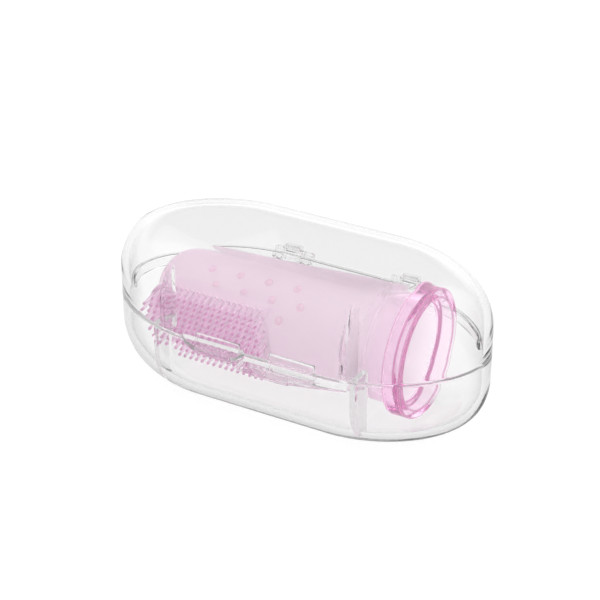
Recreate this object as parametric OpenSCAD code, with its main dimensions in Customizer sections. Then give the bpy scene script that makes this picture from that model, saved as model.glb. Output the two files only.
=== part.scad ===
// Finger toothbrush in a hinged travel case.
//
// A soft silicone sleeve slides over a fingertip: a field of short bristles
// stands on a flat pad along one side, low massage nubs dot the sleeve above
// and below the pad, and a thick rolled collar keeps the mouth open. The brush
// rests in a clear two-shell case. The lid turns on two pins at the back of the
// base, and two half-crescent thumb tabs at the front prise it open.
//
// Units: millimetres. Origin: centre of the base's flat rest face.
// +X runs towards the mouth of the brush, -Y towards the thumb tabs, +Z up.

/* [Case] */
// Length of the closed case
case_len = 74; // [72:0.5:78]
// Width of the case across its straight sides
case_w = 37.2; // [36.8:0.1:39]
// Reach of each rounded end beyond the straight middle
end_len = 23.2; // [22:0.2:25]
// Fullness of the rounded ends (2 is an ellipse, lower is more pointed)
end_shape = 1.8; // [1.7:0.05:2]
// Height of the base shell
base_h = 15.2; // [15.1:0.1:16]
// Height of the lid shell
lid_h = 14.3; // [14.2:0.1:16]
// Wall thickness of both shells
wall = 1.5; // [1.4:0.05:1.6]
// Height of the rounding round the top of the lid
lid_round = 10; // [9:0.25:11]
// Height of the rounding round the bottom of the base
base_round = 9.6; // [9:0.2:10]
// Inward reach of the rounding round the bottom of the base
base_round_in = 8.8; // [8:0.2:9.4]
// Gap between the two closed rims
rim_gap = 0.06; // [0.04:0.01:0.1]

/* [Rim lip] */
// Height of the locating lip that stands inside the back half of the rim
lip_h = 0.85; // [0.6:0.05:1.2]
// Thickness of the locating lip
lip_t = 0.7; // [0.6:0.05:0.9]
// Clearance between the lip and the lid wall
lip_gap = 0.12; // [0.1:0.01:0.2]
// Turn of the line between the lip's two ends from the long centre line
lip_turn = 10; // [6:1:11]

/* [Cradle ribs] */
// Thickness of each cradle rib
rib_t = 1.2; // [1:0.1:1.3]
// Distance from the long centre line to the ribs' straight inner edge
rib_y = 11.9; // [11.8:0.1:12.4]
// The same distance for the lid's rib beside the bristles, which swings past them
lid_left_y = 12.9; // [12.8:0.05:13.1]
// Place of the lid's rib at the mouth end
lid_rib_right = 17.3; // [17:0.1:17.5]
// Place of the lid's rib at the tip end
lid_rib_left = -19.2; // [-19.6:0.05:-18.8]
// Place of the base's rib at the mouth end
base_rib_right = 19.2; // [19:0.1:19.6]
// Place of the base's rib at the tip end
base_rib_left = -21.05; // [-21.3:0.05:-21.05]
// How far the lid's ribs reach down past the rim
lid_rib_drop = 1.3; // [0.8:0.1:1.6]

/* [Thumb tabs and catch] */
// Left end of the crescent of thumb tabs
tab_left = -14; // [-15:0.5:-12]
// Right end of the crescent of thumb tabs
tab_right = 19; // [16:0.5:20]
// How far the crescent stands out from the front wall
tab_out = 2.9; // [2.5:0.1:3.4]
// Thickness of each half tab
tab_t = 1.2; // [1:0.1:1.6]
// Where the lid's half tab ends and the base's half tab starts
tab_split = -1.2; // [-2:0.1:0]
// Length of the grip bar along each half tab
bar_len = 7.4; // [6:0.1:8]
// Radius of the grip bars
bar_r = 0.5; // [0.4:0.05:0.6]
// Length of each catch bar behind the front wall
catch_len = 9; // [6:0.5:9.5]
// Height of each catch bar above the rim
catch_h = 0.9; // [0.8:0.1:1.6]
// Clearance between the catch bars and the lid's front wall
catch_gap = 0.2; // [0.18:0.01:0.3]

/* [Hinge] */
// Distance from the long centre line to the hinge axis
hinge_y = 20; // [20:0.05:20.2]
// Height of the hinge axis below the rim plane
hinge_drop = 0.9; // [0.7:0.1:1]
// Outer radius of the knuckles
knuckle_r = 1.15; // [1.1:0.05:1.2]
// Radius of the hinge pins
pin_r = 0.55; // [0.5:0.05:0.6]
// Running clearance round the pins in the lid's knuckles
pin_gap = 0.05; // [0.03:0.01:0.08]
// Middle of each hinge, measured from the centre of the case
hinge_x = 12.6; // [12:0.1:12.8]
// Overall width of each hinge
hinge_w = 8; // [7.8:0.1:8.4]
// Width of the lid's knuckle, between the base's two ears
lid_knuckle_w = 3.6; // [3:0.1:4]
// Side gap between the lid's knuckle and each ear
side_gap = 0.2; // [0.1:0.05:0.3]

/* [Brush] */
// Height of the brush axis below the rim plane
brush_drop = 1.3; // [1.25:0.05:1.4]
// Place of the centre of the rounded tip
tip_x = -21; // [-21.5:0.1:-20.5]
// Outer radius of the sleeve at the tip
tip_r = 8.5; // [8.3:0.05:8.6]
// Outer radius of the sleeve at its middle
mid_r = 9.4; // [9.2:0.05:9.6]
// Outer radius of the sleeve just behind the collar
neck_r = 10.5; // [10.3:0.05:10.6]
// Wall thickness of the sleeve
sleeve_t = 1.4; // [1.2:0.05:1.5]
// Back face of the collar
collar_x0 = 22.3; // [22:0.1:22.6]
// Front face of the collar
collar_x1 = 25.7; // [25.4:0.1:26]
// Outer radius of the collar
collar_r = 12; // [11.8:0.05:12.1]
// Radius of the mouth in the collar's front face
mouth_r = 10.2; // [10:0.05:10.4]

/* [Bristles] */
// Distance from the brush axis to the face of the bristle pad
pad_y = 8; // [7.9:0.05:8.2]
// Lean of the bristles below the horizontal, as the brush lies in its case
brush_roll = 11; // [9:1:12]
// Thickness of the pad over the finger socket
pad_t = 1; // [0.9:0.05:1.1]
// Depth of the pad's sides
pad_side = 3; // [2.6:0.1:3.2]
// Height of the pad, across the brush
pad_h = 14.4; // [14.4:0.1:14.8]
// Distance from the brush axis to the bristle tips
bristle_y = 11; // [10.8:0.05:11.1]
// Radius of one bristle
bristle_r = 0.3; // [0.25:0.01:0.32]
// Spacing of the bristles along the brush
bristle_dx = 1.27; // [1.2:0.01:1.35]
// Spacing of the rows across the brush
bristle_dz = 1.5; // [1.4:0.05:1.5]
// Rows of bristles
bristle_rows = 10; // [6:1:10]
// Place of the column of bristles nearest the mouth
bristle_x1 = -3; // [-4:0.1:-2.5]

/* [Massage nubs] */
// Radius of one nub
nub_r = 0.8; // [0.7:0.05:0.9]
// Height of one nub above the sleeve
nub_h = 0.25; // [0.2:0.05:0.35]
// Spacing of the nubs along the brush
nub_dx = 6; // [5.8:0.1:6.2]
// Place of the first nub of the top row
nub_x0 = -16.4; // [-17:0.1:-16]
// Shift of each row along the brush from the row above it
nub_shift = 2.1; // [1.5:0.1:3]
// Angle from the sleeve's upper side to the first row of nubs
nub_a0 = 14; // [12:1:16]
// Angle between rows of nubs
nub_da = 20.5; // [19:0.5:21]

/* [Hidden] */

clear_plastic = [0.86, 0.87, 0.88, 0.4];
pin_grey = [0.8, 0.81, 0.82];
pink = [0.93, 0.62, 0.82];
deep_pink = [0.86, 0.42, 0.68];

// Case
straight = case_len / 2 - end_len;      // half length of the straight middle
end_steps = 31;                         // steps round each rounded end
round_steps = 8;                        // steps up each rounding
rim_z = base_h;                         // height of the rim plane
base_rim_z = rim_z - rim_gap / 2;       // top of the base's rim
lid_rim_z = rim_z + rim_gap / 2;        // bottom of the lid's rim
front_y = -case_w / 2;                  // outside of the front wall
mid_wall_y = case_w / 2 - wall / 2;     // middle of the front or back wall
below_rim = 0.1;                        // drop of the base's ribs and feet below the rim plane
foot_bite = 0.3;                        // depth of the lip's and catches' feet in the wall
lip_root = 1.6;                         // depth of the lip below the rim plane
lip_end_y = 0.2;                        // offset of the lip's end line from the centre
rib_foot_gap = 0.4;                     // clearance between a lid rib's foot and the base wall
rib_foot_root = 2;                      // height of a foot's overlap with its rib
catch_t = 0.8;                          // thickness of each catch bar
catch_root = 3;                         // depth of each catch bar below the rim plane
catch_overlap = 0.1;                    // overlap of a catch bar with its foot
catch_xs = [tab_split - 2 - catch_len, tab_split + 4];  // left ends of the catch bars

// Outer edge of the crescent: [x, share of tab_out]
tab_edge = [
    [tab_left, 0], [tab_left + 1.6, 0.55], [tab_left + 4.2, 0.97], [tab_left + 8, 1],
    [tab_right - 14, 1], [tab_right - 9.6, 0.98], [tab_right - 5.5, 0.62], [tab_right, 0]];

// Hinge
axis_z = rim_z - hinge_drop;            // height of the hinge axis
hinge_xs = [-hinge_x, hinge_x];
arm_t = 1;                              // thickness of the lid's hinge arms
arm_lift = 0.15;                        // height of the arms above the rim plane
arm_half = knuckle_r * 0.6;             // half depth of the arms' upright part

// Brush
brush_z = rim_z - brush_drop;           // height of the brush axis
cap_overlap = 0.01;                     // overlap of the rounded tip with the sleeve
collar_edge = 0.3;                      // bevel on the collar's outer front edge
collar_straight = 1.2;                  // length of the collar's bore before it flares
pad_x1 = bristle_x1 + 0.9;              // square end of the bristle pad
bristle_cols = 25;                      // columns tried; those off the pad are left out
bristle_margin = 0.42;                  // least distance from a bristle to the pad's edge
bristle_root = 0.25;                    // depth of each bristle in the pad
nub_root = 0.3;                         // depth of each nub in the sleeve
nub_row_back = 4.6 + nub_shift / 2;     // shift towards the tip of the row nearest the pad
nub_pad_gap = 2;                        // distance of that row's first nub past pad_x1

// Outside of the sleeve: [distance along the brush, radius]
sleeve_stations = [
    [tip_x, tip_r],
    [tip_x / 2, tip_r + 0.42 * (mid_r - tip_r)],
    [0, mid_r],
    [collar_x0 / 2, mid_r + 0.58 * (neck_r - mid_r)],
    [collar_x0, neck_r]];

// ---- Case outline and blocks ----

// One rounded end of the case in plan, moved inwards; side is 1 for +X, -1 for -X.
function rounded_end(inset, side) = [
    for (step = [0 : end_steps])
        let (angle = -90 + 180 * step / end_steps, power = 2 / end_shape)
        [side * (straight + (end_len - inset) * pow(max(cos(angle), 0), power)),
         side * (case_w / 2 - inset) * sign(sin(angle)) * pow(abs(sin(angle)), power)]];

function outline(inset) = concat(rounded_end(inset, 1), rounded_end(inset, -1));
function ring(inset, z) = [for (point = outline(inset)) [point[0], point[1], z]];

// Half width of the outline at a distance x along the case, moved inwards.
function half_width(x, inset) = (case_w / 2 - inset) *
    pow(1 - pow(max(abs(x) - straight, 0) / (end_len - inset), end_shape), 1 / end_shape);

// Closed solid through a stack of rings, lowest first.
module loft(rings) {
    count = len(rings[0]);
    levels = len(rings);
    bottom = [for (i = [0 : count - 1]) i];
    top = [for (i = [count - 1 : -1 : 0]) (levels - 1) * count + i];
    // two triangles for each step round each band
    sides = [
        for (j = [0 : levels - 2], i = [0 : count - 1], half = [0, 1])
            let (next = (i + 1) % count, low = j * count, high = low + count)
            half == 0 ? [low + i, high + i, high + next]
                      : [low + i, high + next, low + next]];
    polyhedron(points = [for (level = rings) each level], faces = concat([bottom], sides, [top]));
}

// Half of the case as a solid block: a straight wall from z0, topped at z1 by
// a rounding round_h high that reaches round_in inwards.
module shell_block(inset, z0, z1, round_h, round_in) {
    loft(concat(
        [ring(inset, z0)],
        [for (step = [0 : round_steps])
            let (angle = 90 * step / round_steps)
            ring(inset + round_in * (1 - cos(angle)), z1 - round_h + round_h * sin(angle))]));
}

// A bar along X.
module x_rod(x0, x1, y, z, r) {
    translate([x0, y, z]) rotate([0, 90, 0]) cylinder(r = r, h = x1 - x0, $fn = 48);
}

// ---- Ribs, lip, tabs and catch ----

// Flat plate that a shell keeps as a rib along its front wall.
module rib_plate(x, y, z0, z1) {
    translate([x - rib_t / 2, -case_w, z0]) cube([rib_t, case_w - y, z1 - z0]);
}

// Foot of a lid rib, which reaches down past the rim inside the base's wall.
module rib_foot(x, y) {
    outer_y = half_width(abs(x) + rib_t / 2, wall) - rib_foot_gap;
    translate([x - rib_t / 2, -outer_y, rim_z - lid_rib_drop])
        cube([rib_t, outer_y - y, lid_rib_drop + rib_foot_root]);
}

// Band round the back half of the rim, inwards from inset to the lip's inner face.
module lip_band(inset, height) {
    intersection() {
        difference() {
            translate([0, 0, rim_z - lip_root]) linear_extrude(height) polygon(outline(inset));
            translate([0, 0, rim_z - 2]) linear_extrude(4)
                polygon(outline(wall + lip_gap + lip_t));
        }
        rotate([0, 0, lip_turn]) translate([-case_len, lip_end_y, 0])
            cube([2 * case_len, case_w, 2 * base_h]);
    }
}

// Locating lip, and its foot joined to the wall below the rim.
module rim_lip() {
    lip_band(wall + lip_gap, lip_root + lip_h);
    lip_band(wall - foot_bite, lip_root - below_rim);
}

// One half of the crescent, from x0 to x1 and z0 upwards, with its grip bar.
module half_tab(x0, x1, z0, bar_x) {
    translate([0, 0, z0]) linear_extrude(tab_t) intersection() {
        polygon(concat(
            [[tab_left, -mid_wall_y]],
            [for (point = tab_edge) [point[0], front_y - tab_out * point[1]]],
            [[tab_right, -mid_wall_y]]));
        translate([x0, front_y - tab_out - 1]) square([x1 - x0, tab_out + 1 + wall / 2]);
    }
    x_rod(bar_x, bar_x + bar_len, front_y - tab_out + bar_r * 0.6, z0 + tab_t / 2,
        bar_r + tab_t / 4);
}

// Catch bar standing up from the base behind the front wall, and its foot in the wall.
module catch_bar(x0) {
    bar_y = front_y + wall + catch_gap;
    translate([x0, bar_y, rim_z - catch_root]) cube([catch_len, catch_t, catch_root + catch_h]);
    translate([x0, bar_y - catch_gap - foot_bite, rim_z - catch_root])
        cube([catch_len, catch_gap + foot_bite + catch_overlap, catch_root - below_rim]);
}

// ---- Hinge ----

// One ear of the base's hinge with the web that carries it.
module base_ear(x0, x1) {
    x_rod(x0, x1, hinge_y, axis_z, knuckle_r);
    translate([x0, mid_wall_y, axis_z - knuckle_r])
        cube([x1 - x0, hinge_y - mid_wall_y, knuckle_r * 1.5]);
}

// The base's two ears on the hinge at x.
module base_ears(x) {
    inner = lid_knuckle_w / 2 + side_gap;
    base_ear(x - hinge_w / 2, x - inner);
    base_ear(x + inner, x + hinge_w / 2);
}

// The lid's knuckle on the hinge at x, with its arm.
module lid_knuckle(x) {
    x0 = x - lid_knuckle_w / 2;
    x_rod(x0, x0 + lid_knuckle_w, hinge_y, axis_z, knuckle_r);
    translate([x0, mid_wall_y, rim_z + arm_lift])
        cube([lid_knuckle_w, hinge_y - mid_wall_y + arm_half, arm_t]);
    translate([x0, hinge_y - arm_half, axis_z])
        cube([lid_knuckle_w, 2 * arm_half, hinge_drop + 0.4]);
}

// Rod along the hinge at x, as wide as the hinge plus extra at each end.
module hinge_rod(x, r, extra = 0) {
    x_rod(x - hinge_w / 2 - extra, x + hinge_w / 2 + extra, hinge_y, axis_z, r);
}

// One hinge pin, flush with the outer ears.
module hinge_pin(x) {
    color(pin_grey) hinge_rod(x, pin_r);
}
module hinge_pin_left() { hinge_pin(-hinge_x); }
module hinge_pin_right() { hinge_pin(hinge_x); }

// ---- Shells ----

// Hollow base with its two ribs left standing; the blocks are turned rim up.
module base_body() {
    difference() {
        translate([0, 0, base_rim_z]) mirror([0, 0, 1])
            shell_block(0, 0, base_h - rim_gap / 2, base_round, base_round_in);
        difference() {
            translate([0, 0, rim_z]) mirror([0, 0, 1])
                shell_block(wall, -1, base_h - wall, base_round - wall, base_round_in - wall);
            for (x = [base_rib_left, base_rib_right]) rib_plate(x, rib_y, 0, rim_z - below_rim);
        }
    }
}

// Hollow lid with its two ribs left standing.
module lid_body() {
    difference() {
        translate([0, 0, lid_rim_z])
            shell_block(0, 0, lid_h - rim_gap / 2, lid_round, lid_round);
        difference() {
            translate([0, 0, rim_z])
                shell_block(wall, -1, lid_h - wall, lid_round - wall, lid_round - wall);
            rib_plate(lid_rib_left, lid_left_y, lid_rim_z, rim_z + lid_h);
            rib_plate(lid_rib_right, rib_y, lid_rim_z, rim_z + lid_h);
        }
    }
}

module base_shell() {
    color(clear_plastic) difference() {
        union() {
            base_body();
            rim_lip();
            for (x = catch_xs) catch_bar(x);
            // right half of the thumb crescent, just under the rim
            half_tab(tab_split + 0.1, tab_right, base_rim_z - tab_t, tab_split + 3);
            for (x = hinge_xs) base_ears(x);
        }
        // bores that grip the pins
        for (x = hinge_xs) hinge_rod(x, pin_r, extra = 1);
    }
}

module lid_shell() {
    color(clear_plastic) difference() {
        union() {
            lid_body();
            rib_foot(lid_rib_left, lid_left_y);
            rib_foot(lid_rib_right, rib_y);
            // left half of the thumb crescent, just above the rim
            half_tab(tab_left, tab_split, lid_rim_z, tab_split - 1 - bar_len);
            for (x = hinge_xs) lid_knuckle(x);
        }
        // bores that run on the pins
        for (x = hinge_xs) hinge_rod(x, pin_r + pin_gap);
    }
}

// ---- Brush ----

// Turns the brush about its axis, so that the bristles lean below the horizontal.
module leaning() {
    translate([0, 0, brush_z]) rotate([brush_roll, 0, 0]) translate([0, 0, -brush_z]) children();
}

// Turns a half section, [radius, distance], about the brush axis along +X.
module on_brush_axis() {
    translate([0, 0, brush_z]) rotate([0, 90, 0]) rotate_extrude($fn = 96) children();
}

// Radius of the sleeve's outside at a distance x along the brush.
function sleeve_r(x) = lookup(x, sleeve_stations);

// Half section of the solid sleeve, made smaller by inset and cut off at x1.
module sleeve_half(inset, x1) {
    polygon(concat(
        [[0, tip_x]],
        [for (station = sleeve_stations) [station[1] - inset, station[0]]],
        [[neck_r - inset, x1], [0, x1]]));
    intersection() {
        translate([0, tip_x]) circle(tip_r - inset, $fn = 96);
        translate([0, tip_x - tip_r]) square([tip_r, tip_r + cap_overlap]);
    }
}

// Finger socket: round, but flattened behind the bristle pad.
module socket() {
    reach = 20;     // takes the flattening block clear of the socket
    difference() {
        on_brush_axis() sleeve_half(sleeve_t, collar_x0 + 2);
        translate([tip_x - reach, -reach - pad_y + pad_t, 0])
            cube([pad_x1 - tip_x + reach, reach, 2 * base_h]);
    }
}

// Pad seen from the front, as a prism from y0 back to y1: straight sides, a
// square end towards the mouth and a round end at the tip.
module pad_prism(y0, y1) {
    translate([0, y1, brush_z]) rotate([90, 0, 0]) linear_extrude(y1 - y0) {
        translate([tip_x, 0]) circle(pad_h / 2, $fn = 96);
        translate([tip_x, -pad_h / 2]) square([pad_x1 - tip_x, pad_h]);
    }
}

// Thin sleeve for the fingertip, open at the mouth, with a window for the pad.
module finger_sleeve() {
    color(pink) leaning() difference() {
        on_brush_axis() sleeve_half(0, collar_x0);
        socket();
        pad_prism(-pad_y - 5, -pad_y + pad_side);
    }
}

// Collar: a straight band outside, a flared mouth inside.
module collar_ring() {
    bore_r = neck_r - sleeve_t;
    color(deep_pink) on_brush_axis() polygon([
        [bore_r, collar_x0],
        [collar_r, collar_x0],
        [collar_r, collar_x1 - collar_edge],
        [collar_r - collar_edge, collar_x1],
        [mouth_r, collar_x1],
        [bore_r, collar_x0 + collar_straight]]);
}

module bristle_pad() {
    color(pink) leaning() difference() {
        pad_prism(-pad_y, -pad_y + pad_side);
        socket();
    }
}

// One bristle, pointing away from the pad, with a rounded end.
module bristle(x, z) {
    length = bristle_y - pad_y + bristle_root;
    translate([x, -pad_y + bristle_root, brush_z + z]) rotate([90, 0, 0])
        rotate_extrude($fn = 24) intersection() {
            union() {
                square([bristle_r, length - bristle_r]);
                translate([0, length - bristle_r]) circle(bristle_r, $fn = 24);
            }
            square([bristle_r, length]);
        }
}

// Staggered rows that follow the pad's outline.
module bristles() {
    edge = pad_h / 2 - bristle_margin;
    color(deep_pink) leaning()
        for (i = [0 : bristle_rows - 1], j = [0 : bristle_cols - 1])
            let (z = (i - (bristle_rows - 1) / 2) * bristle_dz,
                 x = bristle_x1 - j * bristle_dx - (i % 2) * bristle_dx / 2)
            if (abs(z) <= edge && (x >= tip_x || norm([x - tip_x, z]) <= edge))
                bristle(x, z);
}

// One low domed nub on the sleeve, at an angle from the top of the brush.
module nub(x, angle) {
    dome_r = (nub_r * nub_r + nub_h * nub_h) / (2 * nub_h);
    translate([x, 0, brush_z]) rotate([angle, 0, 0]) translate([0, 0, sleeve_r(x) - nub_root])
        rotate_extrude($fn = 48) intersection() {
            translate([0, nub_root + nub_h - dome_r]) circle(dome_r, $fn = 96);
            square([2 * nub_r, nub_root + 2 * nub_h]);
        }
}

// Three sloping rows of nubs above the bristles, and the same below them. The
// row nearest the pad has nubs only past the pad's square end.
module massage_nubs() {
    color(deep_pink) leaning() difference() {
        for (below = [false, true], i = [0 : 2], j = [0 : 3])
            let (x = nub_x0 + i * nub_shift + j * nub_dx - (i == 2 ? nub_row_back : 0),
                 angle = nub_a0 + i * nub_da)
            if (i < 2 || x > pad_x1 + nub_pad_gap) nub(x, below ? 180 - angle : angle);
        pad_prism(-pad_y - 1, -pad_y + pad_side);
    }
}

base_shell();
lid_shell();
hinge_pin_left();
hinge_pin_right();
finger_sleeve();
collar_ring();
bristle_pad();
bristles();
massage_nubs();
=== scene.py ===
"""Silicone finger brush in a clear hinged travel case.

The case is long in X, with its base on the floor, the hinge at the back (+Y) and a thumb tab
at the front (-Y). The brush lies inside along X: round tip at the left (-X), collar and open
mouth at the right (+X), bristles pointing forwards and a little down.
"""
import bpy
import bmesh
import math
from collections import namedtuple
import numpy as np
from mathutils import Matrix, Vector


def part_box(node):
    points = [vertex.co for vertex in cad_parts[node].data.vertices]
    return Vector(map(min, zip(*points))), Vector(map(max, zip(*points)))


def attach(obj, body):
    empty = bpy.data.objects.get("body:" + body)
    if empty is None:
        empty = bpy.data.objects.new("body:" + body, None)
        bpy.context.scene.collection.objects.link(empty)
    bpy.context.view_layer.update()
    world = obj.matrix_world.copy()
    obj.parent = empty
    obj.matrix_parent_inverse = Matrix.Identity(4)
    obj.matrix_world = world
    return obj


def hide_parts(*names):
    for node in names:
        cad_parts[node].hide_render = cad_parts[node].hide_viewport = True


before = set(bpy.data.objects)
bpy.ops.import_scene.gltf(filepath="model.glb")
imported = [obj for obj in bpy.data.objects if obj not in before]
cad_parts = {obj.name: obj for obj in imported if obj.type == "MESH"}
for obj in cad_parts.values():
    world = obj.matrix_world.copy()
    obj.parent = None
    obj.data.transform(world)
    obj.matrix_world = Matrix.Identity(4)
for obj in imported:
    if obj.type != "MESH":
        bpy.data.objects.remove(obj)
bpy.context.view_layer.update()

MM = 0.001
scene = bpy.context.scene

# ---------------------------------------------------------------- dimensions
# Millimetres, taken from the CAD pieces where these give them.
base_lo, base_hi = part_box("base_shell")
_, lid_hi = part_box("lid_shell")
ring_lo, ring_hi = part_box("collar_ring")
_, pad_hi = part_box("bristle_pad")
pin_lo, pin_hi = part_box("hinge_pin_right")

# case plan: straight long sides, with superellipse ends
CASE_L = 2 * max(abs(base_lo.x), abs(base_hi.x)) / MM
CASE_W = 37.2
FRONT_Y, BACK_Y = -CASE_W / 2, CASE_W / 2
STRAIGHT = 13.8                                 # half length of the straight sides
END_L = CASE_L / 2 - STRAIGHT - 0.001
END_POWER = 1.8
END_POINTS, SIDE_POINTS = 72, 14
WALL = 1.5
RIM_Z = 15.2
RIM_GAP = 0.06                                  # between the two rims
RIM_SOFT = 0.12                                 # radius of the rim's edges

# up is 1 or -1; height is measured from RIM_Z; round_z and round_in are the two radii of the
# rounding between the wall and the flat
Half = namedtuple("Half", "up height round_z round_in")
BASE = Half(up=-1, height=RIM_Z - base_lo.z / MM, round_z=9.6, round_in=8.8)
LID = Half(up=1, height=lid_hi.z / MM - RIM_Z, round_z=10.0, round_in=10.0)

RIB_T = 1.2
RIB_RIM = 0.05                                  # from RIM_Z to the rib's rim edge
RIB_STEP = 0.4                                  # step between a rib and its foot
BASE_RIBS = ((-21.05, 11.9), (19.2, 11.9))      # x, half width of the gap in the frame's Y
LID_RIBS = ((-19.2, 12.9), (17.3, 11.9))
LID_RIB_FOOT = 1.3                              # reach of the lid's ribs below the rim

# lip inside the back of the base's rim
LIP_TURN = math.radians(10.0)
LIP_FRONT = 0.2                                 # how far behind the turned centre line it stops

# two flat tongues inside the base's front wall
TONGUE_L, TONGUE_T = 9, 0.8
TONGUE_Y = FRONT_Y + WALL + 0.2
TONGUE_ROOT_INSET = 0.05

# thumb tab: the lid carries the part left of TAB_SPLIT, the base the part right of it
TAB_LEFT, TAB_RIGHT, TAB_SPLIT = -14.0, 19.0, -1.2
TAB_OUT, TAB_T = 2.9, 1.2
TAB_EDGE = (                                    # x, part of TAB_OUT
    (TAB_LEFT, 0), (TAB_LEFT + 1.6, 0.55), (TAB_LEFT + 4.2, 0.97), (TAB_LEFT + 8, 1.0),
    (TAB_RIGHT - 14, 1.0), (TAB_RIGHT - 9.6, 0.98), (TAB_RIGHT - 5.5, 0.62), (TAB_RIGHT, 0),
)
GRIP_L, GRIP_R = 7.4, 0.795
GRIP_Y = FRONT_Y - TAB_OUT + 0.3

HINGE_X = abs((pin_lo.x + pin_hi.x) / 2 / MM)
HINGE_CENTRES = (-HINGE_X, HINGE_X)
HINGE_Y = (pin_lo.y + pin_hi.y) / 2 / MM
HINGE_Z = (pin_lo.z + pin_hi.z) / 2 / MM
HINGE_W = (pin_hi.x - pin_lo.x) / MM
PIN_R = (pin_hi.y - pin_lo.y) / 2 / MM
KNUCKLE_R = 1.148
BASE_KNUCKLE_IN = 2.0                           # from a hinge's centre to the base's knuckles
LID_KNUCKLE_HALF = 1.8

# brush, built with its axis on the X axis; lean() puts it in place
AXIS_Z = (ring_lo.z + ring_hi.z) / 2 / MM
LEAN = math.radians(11.0)                       # bristles lean below the horizontal
COLLAR_X0, COLLAR_X1 = ring_lo.x / MM, ring_hi.x / MM
COLLAR_R = (ring_hi.z - ring_lo.z) / 2 / MM
TIP_X, TIP_R = -21.0, 8.5                       # centre and radius of the round tip
MID_R, NECK_R = 9.4, 10.5                       # sleeve radius at x = 0 and at the collar
SLEEVE_WALL = 1.4
SOCKET_FLAT = 7.0                               # from the axis to the flat behind the pad
SOCKET_BLEND = 0.6
PAD_Y, PAD_H = 8.0, 14.4                        # reach of the pad's face, and its height
PAD_X1 = pad_hi.x / MM
BRUSH_SEGMENTS = 360

BRISTLE_TIP_Y = 11.0
BRISTLE_L = BRISTLE_TIP_Y - PAD_Y
BRISTLE_ROWS, BRISTLE_COLUMNS = 10, 25
BRISTLE_ROW_PITCH, BRISTLE_PITCH = 1.5, 1.27
BRISTLE_X1 = PAD_X1 - 0.9
BRISTLE_EDGE = PAD_H / 2 - 0.42
BRISTLE_END_R = 0.30
BRISTLE_TILT = 0.012                            # spread of the random tilt
BRISTLE_SEGMENTS = 14

NUB_R, NUB_H, NUB_ROOT = 0.8, 0.25, 0.3
NUB_X, NUB_PITCH = -16.4, 6                     # first nub, and distance along a row
NUB_ROW_SHIFT, NUB_LAST_ROW_BACK = 2.1, 4.6 + 1.05
NUB_ANGLE, NUB_ROW_ANGLE = 14, 20.5             # degrees from the top or bottom, forwards
NUB_SEGMENTS = 28


# ---------------------------------------------------------------- mesh helpers
def new_object(name, verts, faces):
    """Object from points in millimetres."""
    mesh = bpy.data.meshes.new(name)
    points = np.asarray(verts, float) * MM
    mesh.from_pydata([tuple(p) for p in points], [], faces)
    mesh.validate()
    mesh.update()
    ob = bpy.data.objects.new(name, mesh)
    scene.collection.objects.link(ob)
    return ob


def solid_faces(ring_count, n, first=0, flip=False):
    """Sides and two caps of a solid through rings of n points, starting at point first."""
    faces = []
    for j in range(ring_count - 1):
        a = first + j * n
        b = a + n
        for i in range(n):
            k = (i + 1) % n
            faces.append((a + i, a + k, b + k, b + i))
    last = first + (ring_count - 1) * n
    faces.append(tuple(range(first + n - 1, first - 1, -1)))
    faces.append(tuple(range(last, last + n)))
    return [face[::-1] for face in faces] if flip else faces


def loft(rings, name="part", flip=False):
    faces = solid_faces(len(rings), len(rings[0]), flip=flip)
    return new_object(name, np.concatenate(rings), faces)


def apply_modifiers(ob):
    depsgraph = bpy.context.evaluated_depsgraph_get()
    mesh = bpy.data.meshes.new_from_object(ob.evaluated_get(depsgraph), depsgraph=depsgraph)
    old = ob.data
    ob.modifiers.clear()
    ob.data = mesh
    mesh.name = ob.name
    if old.users == 0:
        bpy.data.meshes.remove(old)
    return ob


def boolean(ob, other, operation):
    """Joins or cuts ob with other, and removes other."""
    modifier = ob.modifiers.new("bool", "BOOLEAN")
    modifier.operation = operation
    modifier.solver = "EXACT"
    modifier.object = other
    bpy.context.view_layer.update()
    apply_modifiers(ob)
    bpy.data.objects.remove(other)


def bevel(ob, width, segments, angle):
    modifier = ob.modifiers.new("b", "BEVEL")
    modifier.width = width * MM
    modifier.segments = segments
    modifier.limit_method = "ANGLE"
    modifier.angle_limit = math.radians(angle)
    bpy.context.view_layer.update()
    return apply_modifiers(ob)


def fix_normals(ob, join=0.0):
    """Turns all faces outwards, after joining points closer than join and dropping slivers."""
    bm = bmesh.new()
    bm.from_mesh(ob.data)
    if join:
        bmesh.ops.remove_doubles(bm, verts=bm.verts, dist=join * MM)
        bmesh.ops.dissolve_degenerate(bm, edges=bm.edges, dist=1e-7)
    bmesh.ops.recalc_face_normals(bm, faces=bm.faces)
    bm.to_mesh(ob.data)
    bm.free()


def smooth(ob, sharp):
    """Smooth shading, with edges over the given degrees kept sharp."""
    ob.data.shade_smooth()
    ob.data.set_sharp_from_angle(angle=math.radians(sharp))
    return ob


def prism(points, z0, z1, round_edge=0.0, segments=3):
    """Prism over a plan outline, anticlockwise."""
    verts = [(x, y, z0) for x, y in points] + [(x, y, z1) for x, y in points]
    faces = solid_faces(2, len(points))
    ob = new_object("part", verts, faces[-2:] + faces[:-2])
    if round_edge:
        bevel(ob, round_edge, segments, angle=40)
    return ob


def box(low, high, round_edge=0.0, segments=3):
    x0, y0, z0 = low
    x1, y1, z1 = high
    return prism([(x0, y0), (x1, y0), (x1, y1), (x0, y1)], z0, z1, round_edge, segments)


def circle_angles(n):
    return np.linspace(0, 2 * np.pi, n, endpoint=False)


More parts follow.
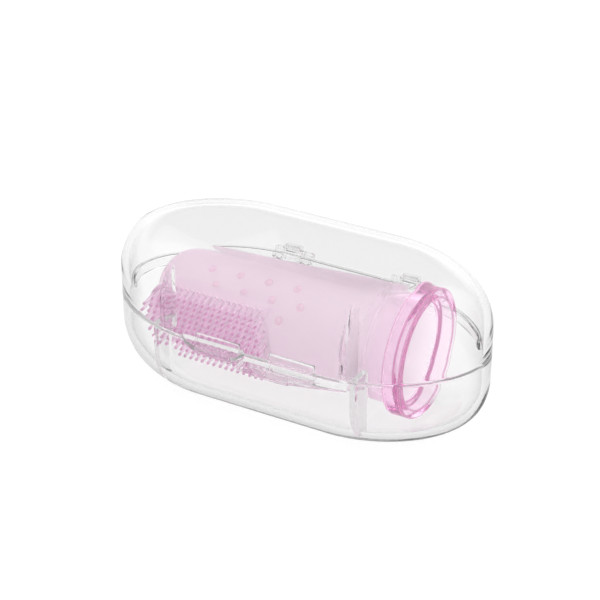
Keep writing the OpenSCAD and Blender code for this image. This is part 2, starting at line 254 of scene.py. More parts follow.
def rod_x(x0, x1, y, z, r, n=48, soft=0.12):
    """Round bar along X with softened ends."""
    profile = ((x0, r - soft), (x0 + soft * 0.3, r - soft * 0.3), (x0 + soft, r),
               (x1 - soft, r), (x1 - soft * 0.3, r - soft * 0.3), (x1, r - soft))
    a = circle_angles(n)
    return loft([
        np.column_stack([np.full(n, px), y + pr * np.cos(a), z + pr * np.sin(a)])
        for px, pr in profile
    ])


# ---------------------------------------------------------------- case
def outline(inset):
    """Plan outline of the case moved inwards, anticlockwise from the front right."""
    t = np.linspace(-np.pi / 2, np.pi / 2, END_POINTS)
    end_x = np.abs(np.cos(t)) ** (2 / END_POWER)
    end_y = np.sign(np.sin(t)) * np.abs(np.sin(t)) ** (2 / END_POWER)
    end_x[0] = end_x[-1] = 0
    half_width = CASE_W / 2 - inset
    right = np.column_stack([STRAIGHT + (END_L - inset) * end_x, half_width * end_y])
    side_x = np.linspace(STRAIGHT, -STRAIGHT, SIDE_POINTS + 2)[1:-1]
    back = np.column_stack([side_x, np.full(SIDE_POINTS, half_width)])
    return np.concatenate([right, back, -right, -back])


def half_width_at(x, inset):
    """Half width of the outline at x."""
    u = max(abs(x) - STRAIGHT, 0) / (END_L - inset)
    return (CASE_W / 2 - inset) * (1 - min(u, 1) ** END_POWER) ** (1 / END_POWER)


def wall_profile(half, inset, soft_side):
    """(inset, height) pairs of a wall surface, from the rim to just inside the flat.

    soft_side is 1 where the rim edge is rounded inwards and -1 where outwards.
    """
    height = half.height - inset
    round_z, round_in = half.round_z - inset, half.round_in - inset
    out = []
    for degrees in (0, 22.5, 45, 67.5, 90):
        a = math.radians(degrees)
        out.append((inset + soft_side * RIM_SOFT * (1 - math.sin(a)),
                    RIM_GAP / 2 + RIM_SOFT * (1 - math.cos(a))))
    z_start, z_top = out[-1][1], height - round_z
    for k in range(1, 6):
        out.append((inset, z_start + (z_top - z_start) * k / 5))
    for k in range(1, 19):
        a = math.pi / 2 * k / 18
        out.append((inset + round_in * (1 - math.cos(a)), height - round_z + round_z * math.sin(a)))
    out.append((out[-1][0] + 0.4, height))
    return out


def shell(name, half):
    """Hollow half of the case: down the outside to the rim, then back along the inside."""
    path = wall_profile(half, 0, soft_side=1)[::-1] + wall_profile(half, WALL, soft_side=-1)
    rings = []
    for inset, z in path:
        plan = outline(inset)
        rings.append(np.column_stack([plan, np.full(len(plan), RIM_Z + half.up * z)]))
    return loft(rings, name, flip=half.up > 0)


def rib(half, x, inner_y, foot=0.0):
    """Rib on the front wall: upright inner edge, outer edge buried halfway in the wall."""
    bury = WALL * 0.5
    outer_y = half_width_at(x, bury)
    round_z, round_in = half.round_z - bury, half.round_in - bury
    top = half.height - bury
    if foot:
        foot_y = half_width_at(abs(x) + RIB_T / 2, WALL) - 0.4
        step_z = RIB_RIM + RIB_STEP
        points = [(-inner_y, -foot), (-foot_y, -foot), (-foot_y, step_z), (-outer_y, step_z)]
    else:
        points = [(-inner_y, RIB_RIM), (-outer_y, RIB_RIM)]
    for k in range(25):
        a = math.pi / 2 * k / 24
        y = outer_y - round_in * (1 - math.cos(a))
        if y < inner_y:
            break
        points.append((-y, top - round_z + round_z * math.sin(a)))
    # the inner edge ends on the rounding, or on the flat beyond it
    end_z = top
    if outer_y - inner_y < round_in:
        cosine = min(1, 1 - (outer_y - inner_y) / round_in)
        end_z = top - round_z + round_z * math.sqrt(1 - cosine ** 2)
    points.append((-inner_y, end_z))

    n = len(points)
    verts = [(x + side * RIB_T / 2, y, RIM_Z + half.up * z) for side in (-1, 1) for y, z in points]
    faces = [tuple(range(n)), tuple(range(2 * n - 1, n - 1, -1))]
    faces += [(i, n + i, n + (i + 1) % n, (i + 1) % n) for i in range(n)]
    ob = new_object("part", verts, faces)
    fix_normals(ob)
    return bevel(ob, width=0.12, segments=2, angle=50)


def lip(outer_inset, inner_inset, z0, z1, trim=0):
    """Strip along the back of the case, shortened by trim points at each end."""
    outer, inner = outline(outer_inset), outline(inner_inset)
    behind = outer[:, 1] * math.cos(LIP_TURN) - outer[:, 0] * math.sin(LIP_TURN)
    keep = np.flatnonzero(behind >= LIP_FRONT)
    keep = keep[trim:len(keep) - trim]
    points = np.concatenate([outer[keep], inner[keep][::-1]])
    return prism(points, z0, z1, round_edge=0.1, segments=2)


def tab(x0, x1, z0, z1):
    """Part of the crescent thumb tab, ending inside the front wall."""
    key_x, key_out = zip(*TAB_EDGE)
    xs = np.linspace(x0, x1, 40)
    out = np.interp(xs, key_x, key_out)
    for _ in range(6):
        out[1:-1] = (out[:-2] + 2 * out[1:-1] + out[2:]) / 4
    points = [(float(x), FRONT_Y - TAB_OUT * float(part)) for x, part in zip(xs, out)]
    points += [(x1, FRONT_Y + WALL / 2), (x0, FRONT_Y + WALL / 2)]
    return prism(points, z0, z1, round_edge=0.15)


def grip_bar(x0, z):
    """Round bar along the edge of the tab."""
    return rod_x(x0, x0 + GRIP_L, GRIP_Y, z, GRIP_R, n=40, soft=0.35)


def finish_half(ob, additions, hole_half, clearance):
    """Joins the additions to a shell and bores the pin holes."""
    for part in additions:
        boolean(ob, part, "UNION")
    for x in HINGE_CENTRES:
        hole = rod_x(x - hole_half, x + hole_half, HINGE_Y, HINGE_Z, PIN_R + clearance, soft=0.01)
        boolean(ob, hole, "DIFFERENCE")
    fix_normals(ob, join=0.0005)
    return smooth(ob, sharp=32)


def build_base():
    ob = shell("case_base", BASE)
    parts = [rib(BASE, x, inner_y) for x, inner_y in BASE_RIBS]
    # the lip's foot is a little thinner and shorter than the lip, so that no faces coincide
    parts.append(lip(WALL - 0.3, WALL + 0.70, RIM_Z - 1.6, RIM_Z - 0.1, trim=2))
    parts.append(lip(WALL + 0.12, WALL + 0.82, RIM_Z - 1.5, RIM_Z + 0.85))
    for x in (TAB_SPLIT - 2 - TONGUE_L, TAB_SPLIT + 4):
        parts.append(box((x, TONGUE_Y, RIM_Z - 3),
                         (x + TONGUE_L, TONGUE_Y + TONGUE_T, RIM_Z + 0.9), round_edge=0.18))
        # root that ties the tongue to the wall
        parts.append(box(
            (x + TONGUE_ROOT_INSET, TONGUE_Y - 0.5, RIM_Z - 3 + TONGUE_ROOT_INSET),
            (x + TONGUE_L - TONGUE_ROOT_INSET, TONGUE_Y + TONGUE_T / 2, RIM_Z - 0.12)))
    tab_top = RIM_Z - RIM_GAP / 2
    parts.append(tab(TAB_SPLIT + 0.1, TAB_RIGHT, tab_top - TAB_T, tab_top))
    parts.append(grip_bar(TAB_SPLIT + 3, tab_top - TAB_T / 2))
    # two knuckles to each hinge, each with a web to the back wall
    for centre in HINGE_CENTRES:
        for start, end in ((-HINGE_W / 2, -BASE_KNUCKLE_IN), (BASE_KNUCKLE_IN, HINGE_W / 2)):
            x0, x1 = centre + start, centre + end
            parts.append(rod_x(x0, x1, HINGE_Y, HINGE_Z, KNUCKLE_R))
            parts.append(box((x0 + 0.04, BACK_Y - WALL / 2, HINGE_Z - KNUCKLE_R + 0.01),
                             (x1 - 0.04, HINGE_Y, HINGE_Z + KNUCKLE_R / 2), round_edge=0.08))
    return finish_half(ob, parts, hole_half=5.2, clearance=0.01)


def build_lid():
    ob = shell("case_lid", LID)
    parts = [rib(LID, x, inner_y, LID_RIB_FOOT) for x, inner_y in LID_RIBS]
    tab_bottom = RIM_Z + RIM_GAP / 2
    parts.append(tab(TAB_LEFT, TAB_SPLIT, tab_bottom, tab_bottom + TAB_T))
    parts.append(grip_bar(TAB_SPLIT - 1 - GRIP_L, tab_bottom + TAB_T / 2))
    # one knuckle to each hinge, with an arm to the back wall and a block over the pin
    for centre in HINGE_CENTRES:
        x0, x1 = centre - LID_KNUCKLE_HALF, centre + LID_KNUCKLE_HALF
        parts.append(rod_x(x0, x1, HINGE_Y, HINGE_Z, KNUCKLE_R))
        parts.append(box((x0 + 0.03, BACK_Y - WALL / 2, RIM_Z + 0.15),
                         (x1 - 0.03, HINGE_Y + 0.68, RIM_Z + 1.15), round_edge=0.25, segments=4))
        parts.append(box((x0 + 0.05, HINGE_Y - 0.68, HINGE_Z),
                         (x1 - 0.05, HINGE_Y + 0.67, HINGE_Z + 1.3), round_edge=0.05))
    return finish_half(ob, parts, hole_half=4, clearance=0.05)


# ---------------------------------------------------------------- brush
def lean(verts):
    """Turns brush points about the brush axis and lifts them to its height."""
    out = np.array(verts, float)
    cosine, sine = math.cos(LEAN), math.sin(LEAN)
    y, z = out[:, 1].copy(), out[:, 2].copy()
    out[:, 1] = cosine * y - sine * z
    out[:, 2] = sine * y + cosine * z + AXIS_Z
    return out


def brush_part(name, solids, sharp, flip=False):
    """Object made of solids, each a list of rings with the brush axis on the X axis."""
    verts, faces = [], []
    for rings in solids:
        faces += solid_faces(len(rings), len(rings[0]), first=len(verts), flip=flip)
        verts.extend(np.concatenate(rings))
    ob = new_object(name, lean(verts), faces)
    fix_normals(ob)
    return smooth(ob, sharp)


def sleeve_radius(x):
    stations = [TIP_X, TIP_X / 2, 0, COLLAR_X0 / 2, COLLAR_X0]
    radii = [TIP_R, TIP_R + 0.42 * (MID_R - TIP_R), MID_R, MID_R + 0.58 * (NECK_R - MID_R), NECK_R]
    return np.interp(x, stations, radii)


def smooth_min(a, b, blend):
    h = np.clip(0.5 + 0.5 * (b - a) / blend, 0, 1)
    return b + (a - b) * h - blend * h * (1 - h)


def smooth_max(a, b, blend):
    return -smooth_min(-a, -b, blend)


def outer_distance(p):
    """Rough signed distance to the outside of the sleeve with its raised pad."""
    x, y, z = p[..., 0], p[..., 1], p[..., 2]
    radius = np.hypot(y, z)
    tip = np.sqrt((x - TIP_X) ** 2 + radius ** 2) - TIP_R
    sleeve = np.where(x < TIP_X, tip, radius - sleeve_radius(x))
    # pad outline seen from the front: round at the tip, square towards the mouth
    round_end = np.hypot(x - TIP_X, z) - PAD_H / 2
    square_end = smooth_max(np.abs(z) - PAD_H / 2, x - PAD_X1, 0.5)
    plan = np.where(x < TIP_X, round_end, square_end)
    face = -y - PAD_Y
    pad = smooth_max(smooth_max(plan, face, 0.5), y + 4.2, 0.3)
    # in front of the pad the sleeve is cut back to the pad's face
    sleeve = smooth_max(sleeve, -smooth_max(plan, -face, 0.3), 0.3)
    return smooth_min(sleeve, pad, 0.45)


def cast(origin, direction, far=14.0, near=4.0):
    """Points where the rays from the origin cross the outermost surface."""
    count = len(direction)
    low, high = np.full(count, near), np.full(count, far)
    found = np.zeros(count, bool)
    previous = far
    for reach in np.linspace(far, near, 90):
        hit = (outer_distance(origin + direction * reach) <= 0) & ~found
        low[hit] = reach
        high[hit] = previous
        found |= hit
        previous = reach
    for _ in range(18):
        middle = (low + high) / 2
        inside = outer_distance(origin + direction * middle[:, None]) <= 0
        low = np.where(inside, middle, low)
        high = np.where(inside, high, middle)
    return origin + direction * ((low + high) / 2)[:, None]


def flat_reach(forward):
    """Reach to the socket's flat along rays with the given forward part."""
    return np.where(forward > 0.05, SOCKET_FLAT / np.maximum(forward, 0.05), 99)


def socket_radius(x, forward):
    """Radius of the socket, whose flat fades out behind the right end of the pad."""
    radius = sleeve_radius(x) - SLEEVE_WALL
    flat = flat_reach(forward)
    w = np.clip((PAD_X1 + 1.2 - x) / 2.4, 0, 1)
    w = w * w * (3 - 2 * w)
    flat = flat * w + (1 - w) * np.maximum(flat, radius + 1.0)
    return smooth_min(radius, flat, SOCKET_BLEND)


def collar_profile():
    """(x, radius) pairs over the collar from behind it and in through the mouth."""
    def arc(x, radius, r, start, end, count):
        angles = [math.radians(a) for a in np.linspace(start, end, count)]
        return [(x + r * math.cos(a), radius + r * math.sin(a)) for a in angles]

    x0, x1, r = COLLAR_X0, COLLAR_X1, COLLAR_R
    return [
        (x0 - 0.45, float(sleeve_radius(x0 - 0.45))),
        *arc(x0 - 0.3, NECK_R + 0.28, 0.3, 270, 360, 5)[1:],       # corner behind the collar
        (x0, r - 0.45),
        *arc(x0 + 0.25, r - 0.25, 0.25, 180, 90, 6)[1:],           # left outer edge
        (x0 + 0.9, r), (x0 + 1.7, r), (x1 - 0.9, r),
        *arc(x1 - 0.25, r - 0.25, 0.25, 90, 0, 6),                 # right outer edge
        (x1, 11.4), (x1, 10.9), (x1, 10.45),
        *arc(x1 - 0.2, 10.4, 0.2, 0, -70, 5),                      # edge of the mouth
        (x1 - 0.8, 9.95), (x1 - 1.6, 9.6), (x0 + 1.45, 9.3), (x0 + 1.1, 9.14),
    ]


def build_brush():
    """One skin from the tip over the outside to the mouth, and back inside to the tip."""
    n = BRUSH_SEGMENTS
    phi = circle_angles(n)                                         # 0 is towards the bristles
    forward, up = np.cos(phi), np.sin(phi)
    tip_centre = np.array([TIP_X, 0, 0])

    def tip_rays(a):
        return np.column_stack([
            np.full(n, -math.sin(a)), -forward * math.cos(a), up * math.cos(a)])

    def turned(x, radius):
        return np.column_stack([np.full(n, x), -forward * radius, up * radius])

    rings = [cast(tip_centre, tip_rays(a)) for a in np.radians(np.linspace(88.5, 2.5, 46))]
    # body, cast square to the axis, with close rings at the pad's end
    stations = np.concatenate([
        np.arange(TIP_X, PAD_X1 - 1.0, 0.55),
        np.arange(PAD_X1 - 1.0, PAD_X1 + 1.2, 0.11),
        np.arange(PAD_X1 + 1.2, COLLAR_X0 - 0.7, 0.7),
    ])
    rings += [cast(np.array([x, 0, 0]), turned(0.0, 1.0)) for x in stations]
    rings += [turned(x, radius) for x, radius in collar_profile()]
    # socket, from the collar back to the tip
    stations = np.concatenate([
        np.arange(COLLAR_X0 + 0.6, PAD_X1 + 2.0, -0.9),
        np.arange(PAD_X1 + 2.0, PAD_X1 - 2.0, -0.25),
        np.arange(PAD_X1 - 2.0, TIP_X, -0.8),
        [TIP_X],
    ])
    for x in stations:
        radius = socket_radius(x, forward) if x < COLLAR_X0 else NECK_R - SLEEVE_WALL
        rings.append(turned(x, radius))
    for a in np.radians(np.linspace(3, 88.5, 26)):
        rays = tip_rays(a)
        reach = smooth_min(TIP_R - SLEEVE_WALL, flat_reach(-rays[:, 1]), SOCKET_BLEND)
        rings.append(tip_centre + rays * reach[:, None])
    return brush_part("brush_body", [rings], sharp=60, flip=True)


def bristle_places():
    """(x, z) of the bristles: staggered rows that fill the pad's outline."""
    places = []
    for i in range(BRISTLE_ROWS):
        z = (i - (BRISTLE_ROWS - 1) / 2) * BRISTLE_ROW_PITCH
        for j in range(BRISTLE_COLUMNS):
            x = BRISTLE_X1 - j * BRISTLE_PITCH - (i % 2) * BRISTLE_PITCH / 2
            in_round = x >= TIP_X or math.hypot(x - TIP_X, z) <= BRISTLE_EDGE
            if abs(z) <= BRISTLE_EDGE and in_round:
                places.append((x, z))
    return places


def build_bristles():
    rng = np.random.default_rng(7)
    # (distance from the pad's face, radius) from the buried root to the rounded end
    profile = [(-0.25, 0.36), (0.0, 0.36), (0.12, 0.325), (0.35, 0.30),
               (BRISTLE_L * 0.5, 0.285), (BRISTLE_L - 0.42, 0.28)]
    for a in np.radians([0, 20, 40, 58, 74, 85]):
        profile.append((BRISTLE_L - BRISTLE_END_R + BRISTLE_END_R * math.sin(a),
                        BRISTLE_END_R * math.cos(a)))
    n = BRISTLE_SEGMENTS
    angles = circle_angles(n)
    solids = []
    for x, z in bristle_places():
        tilt_x, tilt_z = rng.normal(0, BRISTLE_TILT, 2)
        solids.append([
            np.column_stack([x + tilt_x * out + r * np.cos(angles),
                             np.full(n, -PAD_Y - out),
                             z + tilt_z * out + r * np.sin(angles)])
            for out, r in profile
        ])
    return brush_part("bristle_field", solids, sharp=50)


def nub_rings(x, a):
    """Low round bump on the sleeve; a is the angle from the top towards the front."""
    # (height over the sleeve, radius) from the buried root to the top
    profile = [(-NUB_ROOT, NUB_R)]
    for r in np.linspace(NUB_R, NUB_R * 0.08, 9):
        profile.append((NUB_H * (1 - (r / NUB_R) ** 2) ** 1.3, r))
    sleeve_r = float(sleeve_radius(x))
    angles = circle_angles(NUB_SEGMENTS)
    rings = []
    for height, r in profile:
        across = r * np.sin(angles)
        reach = np.sqrt(sleeve_r ** 2 - across ** 2) + height
        rings.append(np.column_stack([
            x + r * np.cos(angles),
            -math.cos(a) * across - math.sin(a) * reach,
            -math.sin(a) * across + math.cos(a) * reach,
        ]))
    return rings


def build_nubs():
    """Three rows of nubs above the pad, and their mirror image below it."""
    solids = []
    for below in (False, True):
        for row in range(3):
            a = math.radians(NUB_ANGLE + row * NUB_ROW_ANGLE)
            last_row = row == 2
            for j in range(4):
                x = NUB_X + row * NUB_ROW_SHIFT + j * NUB_PITCH
                x -= NUB_LAST_ROW_BACK if last_row else 0
                # the last row only runs to the right of the pad
                if last_row and x <= PAD_X1 + 2:
                    continue
                solids.append(nub_rings(x, math.pi - a if below else a))
    return brush_part("nub_field", solids, sharp=60)


# ---------------------------------------------------------------- shader helpers
class Graph:
    """Adds shader nodes to an emptied tree. Most values may be a number or a socket."""

    def __init__(self, tree):
        self.tree = tree
        tree.nodes.clear()

    def node(self, kind):
        return self.tree.nodes.new("ShaderNode" + kind)

    def feed(self, socket, value):
        if isinstance(value, bpy.types.NodeSocket):
            self.tree.links.new(value, socket)
        else:
            socket.default_value = value

    def feed_all(self, node, values):
        for name, value in values.items():
            self.feed(node.inputs[name], value)

    def coords(self):
        return self.node("TexCoord").outputs["Object"]

    def separate(self, vector):
        node = self.node("SeparateXYZ")
        self.feed(node.inputs[0], vector)
        return node.outputs

    def noise(self, vector, scale, detail):
        node = self.node("TexNoise")
        self.feed_all(node, {"Vector": vector, "Scale": scale, "Detail": detail})
        return node.outputs["Fac"]

    def remap(self, value, source, target=(0.0, 1.0)):
        node = self.node("MapRange")
        self.feed_all(node, {
            "Value": value, "From Min": source[0], "From Max": source[1],
            "To Min": target[0], "To Max": target[1],
        })
        return node.outputs["Result"]

    def mix(self, factor, a, b):
        """Blend of two colours, each an (r, g, b) or a socket."""
        node = self.node("Mix")
        node.data_type = "RGBA"
        self.feed(node.inputs["Factor"], factor)
        for name, colour in (("A", a), ("B", b)):
            self.feed(node.inputs[name], (*colour, 1) if isinstance(colour, tuple) else colour)
        return node.outputs["Result"]

    def math(self, operation, first, second=0.0, third=None):
        node = self.node("Math")
        node.operation = operation
        self.feed(node.inputs[0], first)
        self.feed(node.inputs[1], second)
        if third is not None:
            self.feed(node.inputs[2], third)
        return node.outputs[0]


class Material(Graph):
    """A Principled material."""

    def __init__(self, name):
        self.material = bpy.data.materials.new(name)
        self.material.use_nodes = True
        super().__init__(self.material.node_tree)
        self.output = self.node("OutputMaterial")
        self.bsdf = self.node("BsdfPrincipled")
        self.feed(self.output.inputs["Surface"], self.bsdf.outputs["BSDF"])

    def set(self, values):
        self.feed_all(self.bsdf, values)

    def bump(self, height, strength, distance):
        node = self.node("Bump")
        self.feed_all(node, {"Height": height, "Strength": strength, "Distance": distance})
        self.set({"Normal": node.outputs["Normal"]})

    def absorb(self, per_metre):
        """Tint that deepens with the path inside, for red, green and blue."""
        top = max(per_metre)
        node = self.node("VolumeAbsorption")
        self.feed_all(node, {"Density": top, "Color": (*[1 - c / top for c in per_metre], 1)})
        self.feed(self.output.inputs["Volume"], node.outputs[0])

    def outer_coat(self, weight, ior):
        """Coat on the outside only, so light inside the wall isn't lost in it."""
        backfacing = self.node("NewGeometry").outputs["Backfacing"]
        outside = self.remap(backfacing, source=(0.0, 1.0), target=(1.0, 0.0))
        self.set({"Coat Weight": self.math("MULTIPLY", weight, outside), "Coat IOR": ior})


# ---------------------------------------------------------------- materials
CASE_ABSORPTION = 28.0                          # per metre
EDGE_SHADE_GREY = 0.80                                # painted shade: grey of the walls seen edge-on
GLOW = 0.04                                     # painted glow of the silicone, emission standing in for light scattered inside it
FLOOR_GLOW = 0.92


def clear_plastic():
    mat = Material("clear_plastic")
    cloud = mat.noise(mat.coords(), scale=120.0, detail=2.0)
    clear = mat.mix(cloud, (0.998, 0.998, 0.998), (1.0, 1.0, 1.0))
    # painted shade: walls seen edge-on are painted grey, except at the brightly lit shoulder of the
    # lid
    layer = mat.node("LayerWeight")
    mat.feed(layer.inputs["Blend"], 0.5)
    z = mat.separate(mat.coords())["Z"]
    edge_shade_mask = mat.math("MULTIPLY",
                    mat.remap(layer.outputs["Facing"], source=(0.45, 0.95)),
                    mat.remap(z, source=(0.017, 0.0255), target=(1.0, 0.0)))
    edge_shade = mat.remap(edge_shade_mask, source=(0.0, 1.0), target=(0.0, EDGE_SHADE_GREY))
    mat.set({
        # the grey mixed in here is painted shade, not the plastic's own colour
        "Base Color": mat.mix(edge_shade, clear, (0.40, 0.39, 0.40)),
        "Transmission Weight": 1.0,
        "IOR": 1.15,
        "Roughness": 0.0,
        "Coat Roughness": 0.02,
    })
    # painted highlight: the coat's reflection is real, but its weight is raised on surfaces facing
    # up, so the polished top catches more of the light from above
    facing_up = mat.separate(mat.node("NewGeometry").outputs["Normal"])["Z"]
    mat.outer_coat(mat.remap(facing_up, source=(0.35, 0.85), target=(0.12, 0.85)), ior=1.45)
    mat.absorb((CASE_ABSORPTION, CASE_ABSORPTION * 1.02, CASE_ABSORPTION))
    return mat.material


def corner_shade_lines(mat):
    """Painted shade mask: 1 along the corner circles of the collar, falling to 0 away from them."""
    circles = (                                 # x, radius
        (COLLAR_X1 - 0.1, COLLAR_R - 0.1), (COLLAR_X1 - 0.1, 10.4),
        (COLLAR_X0 + 0.1, COLLAR_R - 0.1), (COLLAR_X0 + 1.2, 9.2),
    )
    fade = (0.12 * MM, 0.32 * MM)

    def length(a, b):
        squares = mat.math("ADD", mat.math("MULTIPLY", a, a), mat.math("MULTIPLY", b, b))
        return mat.math("SQRT", squares)

    place = mat.separate(mat.coords())
    radius = length(place["Y"], mat.math("SUBTRACT", place["Z"], AXIS_Z * MM))
    total = None
    for x, r in circles:
        distance = length(mat.math("SUBTRACT", place["X"], x * MM),
                          mat.math("SUBTRACT", radius, r * MM))
        line = mat.remap(distance, source=fade, target=(1.0, 0.0))
        total = line if total is None else mat.math("MAXIMUM", total, line)
    return total


def start_silicone(name, light, deep, tint):
    """Settings the sleeve and the nubs share; gives the material, its colour and fine noise."""
    mat = Material(name)
    place = mat.coords()
    cloud = mat.noise(place, scale=90.0, detail=3.0)
    colour = mat.mix(mat.remap(cloud, source=(0.35, 0.65)), light, deep)
    fine = mat.noise(place, scale=1800.0, detail=2.0)
    mat.set({
        "IOR": 1.2,
        # stands in for light scattered inside the soft body
        "Emission Color": (1.0, 0.84, 0.95, 1),
        "Emission Strength": GLOW,
    })
    mat.outer_coat(0.25, ior=1.4)
    mat.bump(fine, strength=0.05, distance=0.00003)
    mat.absorb(tint)
    return mat, colour, fine


def sleeve_silicone():
    """Frosted along the sleeve, clearer at the collar, with painted shade in deeper pink along the
    collar's rounded corners.
    """
    mat, colour, _ = start_silicone(
        "sleeve_silicone", light=(1.0, 0.985, 0.995), deep=(1.0, 0.975, 0.99),
        tint=(3.0, 60.0, 18.0))
    corner_shade = corner_shade_lines(mat)
    x = mat.separate(mat.coords())["X"]
    clear_x = (COLLAR_X0 - 1.0) * MM
    change = (clear_x - 0.006, clear_x + 0.001)
    clear = mat.remap(x, source=change, target=(0.62, 0.97))
    cloudy_corner_shade = mat.remap(corner_shade, source=(0.0, 1.0), target=(1.0, 0.35))
    mat.set({
        # painted shade: the collar's rounded corners are painted a deeper pink and let less light
        # through
        "Base Color": mat.mix(mat.math("MULTIPLY", corner_shade, 0.85), colour, (0.80, 0.28, 0.58)),
        "Roughness": mat.remap(x, source=change, target=(0.30, 0.06)),
        "Coat Roughness": mat.remap(x, source=change, target=(0.30, 0.06)),
        "Transmission Weight": mat.math("MULTIPLY", clear, cloudy_corner_shade),
    })
    return mat.material


def nub_silicone():
    mat, colour, fine = start_silicone(
        "nub_silicone", light=(0.975, 0.77, 0.89), deep=(0.965, 0.745, 0.875),
        tint=(1.0, 60.0, 20.0))
    mat.set({
        "Base Color": colour,
        "Roughness": mat.remap(fine, source=(0.3, 0.7), target=(0.25, 0.35)),
        "Transmission Weight": 0.15,
    })
    return mat.material


def bristle_silicone():
    """Pink along the bristles, nearly white at their roots."""
    mat = Material("bristle_silicone")
    # distance from the brush axis along the leaning bristles
    place = mat.separate(mat.coords())
    from_y = mat.math("MULTIPLY_ADD", place["Y"], -math.cos(LEAN), 0.0)
    from_z = mat.math("MULTIPLY_ADD", place["Z"], -math.sin(LEAN), math.sin(LEAN) * AXIS_Z * MM)
    reach = mat.math("ADD", from_y, from_z)
    tip_range = ((BRISTLE_TIP_Y - 0.1) * MM, (BRISTLE_TIP_Y - 0.8) * MM)
    below_tip = mat.remap(reach, source=tip_range)
    fine = mat.noise(mat.coords(), scale=2400.0, detail=2.0)
    mat.set({
        "Base Color": mat.mix(below_tip, (0.74, 0.38, 0.60), (0.99, 0.92, 0.98)),
        "IOR": 1.25,
        "Transmission Weight": 0.7,
        "Roughness": mat.remap(fine, source=(0.3, 0.7), target=(0.12, 0.22)),
        # painted glow, standing in for light scattered inside the bristles
        "Emission Color": (1.0, 0.70, 0.88, 1),
        "Emission Strength": 1.6 * GLOW,
    })
    mat.outer_coat(0.3, ior=1.4)
    mat.absorb((4.0, 62.0, 18.0))
    return mat.material


def floor_material():
    mat = Material("floor")
    cloud = mat.noise(mat.coords(), scale=6.0, detail=2.0)
    mat.set({
        "Base Color": mat.mix(cloud, (0.13, 0.13, 0.13), (0.15, 0.15, 0.15)),
        "Roughness": 0.9,
        "Specular IOR Level": 0.0,
        # lit from below like a light table
        "Emission Color": (1, 1, 1, 1),
        "Emission Strength": FLOOR_GLOW,
    })
    return mat.material


def dress(ob, material):
    ob.data.materials.clear()
    ob.data.materials.append(material)


# ---------------------------------------------------------------- assemble
base = build_base()
lid = build_lid()
brush = build_brush()
bristles = build_bristles()
nubs = build_nubs()

plastic = clear_plastic()
dress(base, plastic)
dress(lid, plastic)
dress(brush, sleeve_silicone())
dress(nubs, nub_silicone())
dress(bristles, bristle_silicone())
for pin in ("hinge_pin_left", "hinge_pin_right"):
    dress(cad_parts[pin], plastic)

for piece, carrier, replaced, slot in (
    (base, "base", ("base_shell",), "clear_case"),
    (lid, "lid", ("lid_shell",), "clear_case"),
    (brush, "brush", ("finger_sleeve", "collar_ring", "bristle_pad"), "silicone"),
    (bristles, "brush", ("bristles",), "bristle_silicone"),
    (nubs, "brush", ("massage_nubs",), "bristle_silicone"),
):
    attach(piece, carrier)
    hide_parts(*replaced)

# ---------------------------------------------------------------- stage
VIEW_AZIMUTH, VIEW_ELEVATION = math.radians(29.11), math.radians(29.29)
VIEW_RIGHT = (math.cos(VIEW_AZIMUTH), math.sin(VIEW_AZIMUTH), 0)
VIEW_AWAY = (-math.sin(VIEW_AZIMUTH), math.cos(VIEW_AZIMUTH), 0)
SIDE_LIGHT = (0.88, 1.14)                       # studio light from the left and from the right
FAR_GAIN = 0.50                                 # extra light behind the object
CARD = 0.62                                     # how much the grey card takes off


def build_floor():
    bpy.ops.mesh.primitive_plane_add(size=6.0, location=(0, 0, -0.0002))
    floor = bpy.context.object
    floor.name = "floor"
    dress(floor, floor_material())


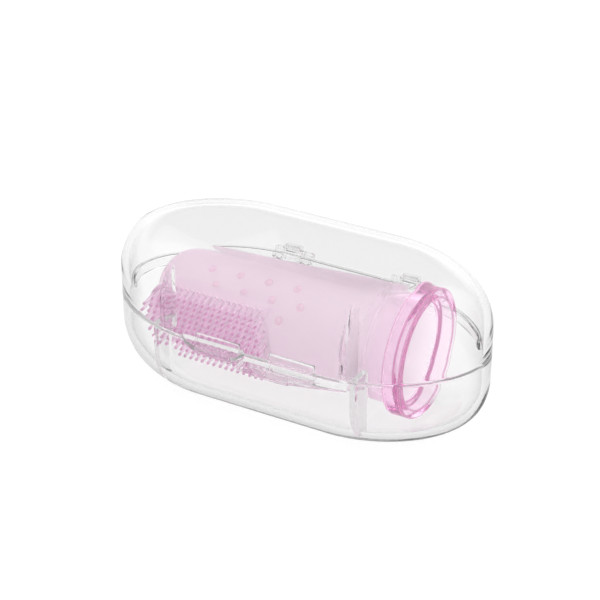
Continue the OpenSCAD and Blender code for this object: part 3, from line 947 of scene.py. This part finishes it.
def build_world():
    world = bpy.data.worlds.new("studio")
    scene.world = world
    world.use_nodes = True
    graph = Graph(world.node_tree)
    output = graph.node("OutputWorld")
    background = graph.node("Background")
    direction = graph.node("TexCoord").outputs["Generated"]
    height = graph.separate(direction)["Z"]

    sky = graph.node("ValToRGB")
    graph.feed(sky.inputs["Fac"], height)
    ramp = sky.color_ramp
    ramp.elements[0].position = 0.0
    ramp.elements[0].color = (0.85, 0.85, 0.86, 1)
    ramp.elements[1].position = 0.80
    ramp.elements[1].color = (1.1, 1.1, 1.1, 1)
    ramp.elements.new(0.36).color = (0.9, 0.9, 0.9, 1)

    def toward(vector, source, target):
        """Value that changes as the light direction turns towards vector."""
        dot = graph.node("VectorMath")
        dot.operation = "DOT_PRODUCT"
        graph.feed(dot.inputs[0], direction)
        graph.feed(dot.inputs[1], vector)
        return graph.remap(dot.outputs["Value"], source, target)

    side = toward(VIEW_RIGHT, source=(-1.0, 1.0), target=SIDE_LIGHT)
    far = toward(VIEW_AWAY, source=(0.6, 0.9), target=(0.0, FAR_GAIN))
    low_far = graph.math("MULTIPLY", far, graph.remap(height, source=(0.40, 0.33)))
    light = graph.math("ADD", side, low_far)
    # a grey card behind and above, where the flat top of the lid would mirror the studio
    card = graph.math("MULTIPLY",
                      graph.remap(height, source=(0.37, 0.44)),
                      graph.remap(height, source=(0.72, 0.66)))
    card_side = toward(VIEW_AWAY, source=(0.55, 0.68), target=(0.0, CARD))
    card = graph.math("MULTIPLY", card, card_side)
    strength = graph.math("MULTIPLY", light, graph.math("SUBTRACT", 1.0, card))
    graph.feed_all(background, {"Color": sky.outputs["Color"], "Strength": strength})
    graph.feed(output.inputs["Surface"], background.outputs[0])


def build_key_light():
    light = bpy.data.lights.new("key", "AREA")
    light.energy = 0.3
    light.shape = "RECTANGLE"
    light.size = light.size_y = 0.6
    key = bpy.data.objects.new("key", light)
    scene.collection.objects.link(key)
    place, target = Vector((-0.25, 0.15, 0.5)), Vector((0, 0, 0.01))
    key.location = place
    key.rotation_mode = "QUATERNION"
    key.rotation_quaternion = (target - place).to_track_quat("-Z", "Y")


def build_camera():
    distance, shift_right, shift_up = 0.3322, -0.00030, 0.002295
    level = math.cos(VIEW_ELEVATION)
    back = Vector((math.sin(VIEW_AZIMUTH) * level, -math.cos(VIEW_AZIMUTH) * level,
                   math.sin(VIEW_ELEVATION)))
    right = Vector(VIEW_RIGHT)
    up = back.cross(right)
    data = bpy.data.cameras.new("camera")
    camera = bpy.data.objects.new("camera", data)
    scene.collection.objects.link(camera)
    rim = Vector((0, 0, RIM_Z * MM))
    camera.location = rim + back * distance + right * shift_right + up * shift_up
    camera.rotation_mode = "QUATERNION"
    camera.rotation_quaternion = (-back).to_track_quat("-Z", "Y")
    data.lens = 109.2
    data.sensor_width = 36
    data.clip_start = 0.01
    data.clip_end = 20
    scene.camera = camera


build_floor()
build_world()
build_key_light()
build_camera()

scene.view_settings.view_transform = "Standard"
scene.view_settings.look = "None"
# many bounces, for the light inside the clear walls
scene.cycles.max_bounces = 64
scene.cycles.transmission_bounces = 48
scene.cycles.transparent_max_bounces = 24
scene.cycles.glossy_bounces = 48
scene.cycles.diffuse_bounces = 14
scene.cycles.caustics_refractive = True
scene.cycles.caustics_reflective = True
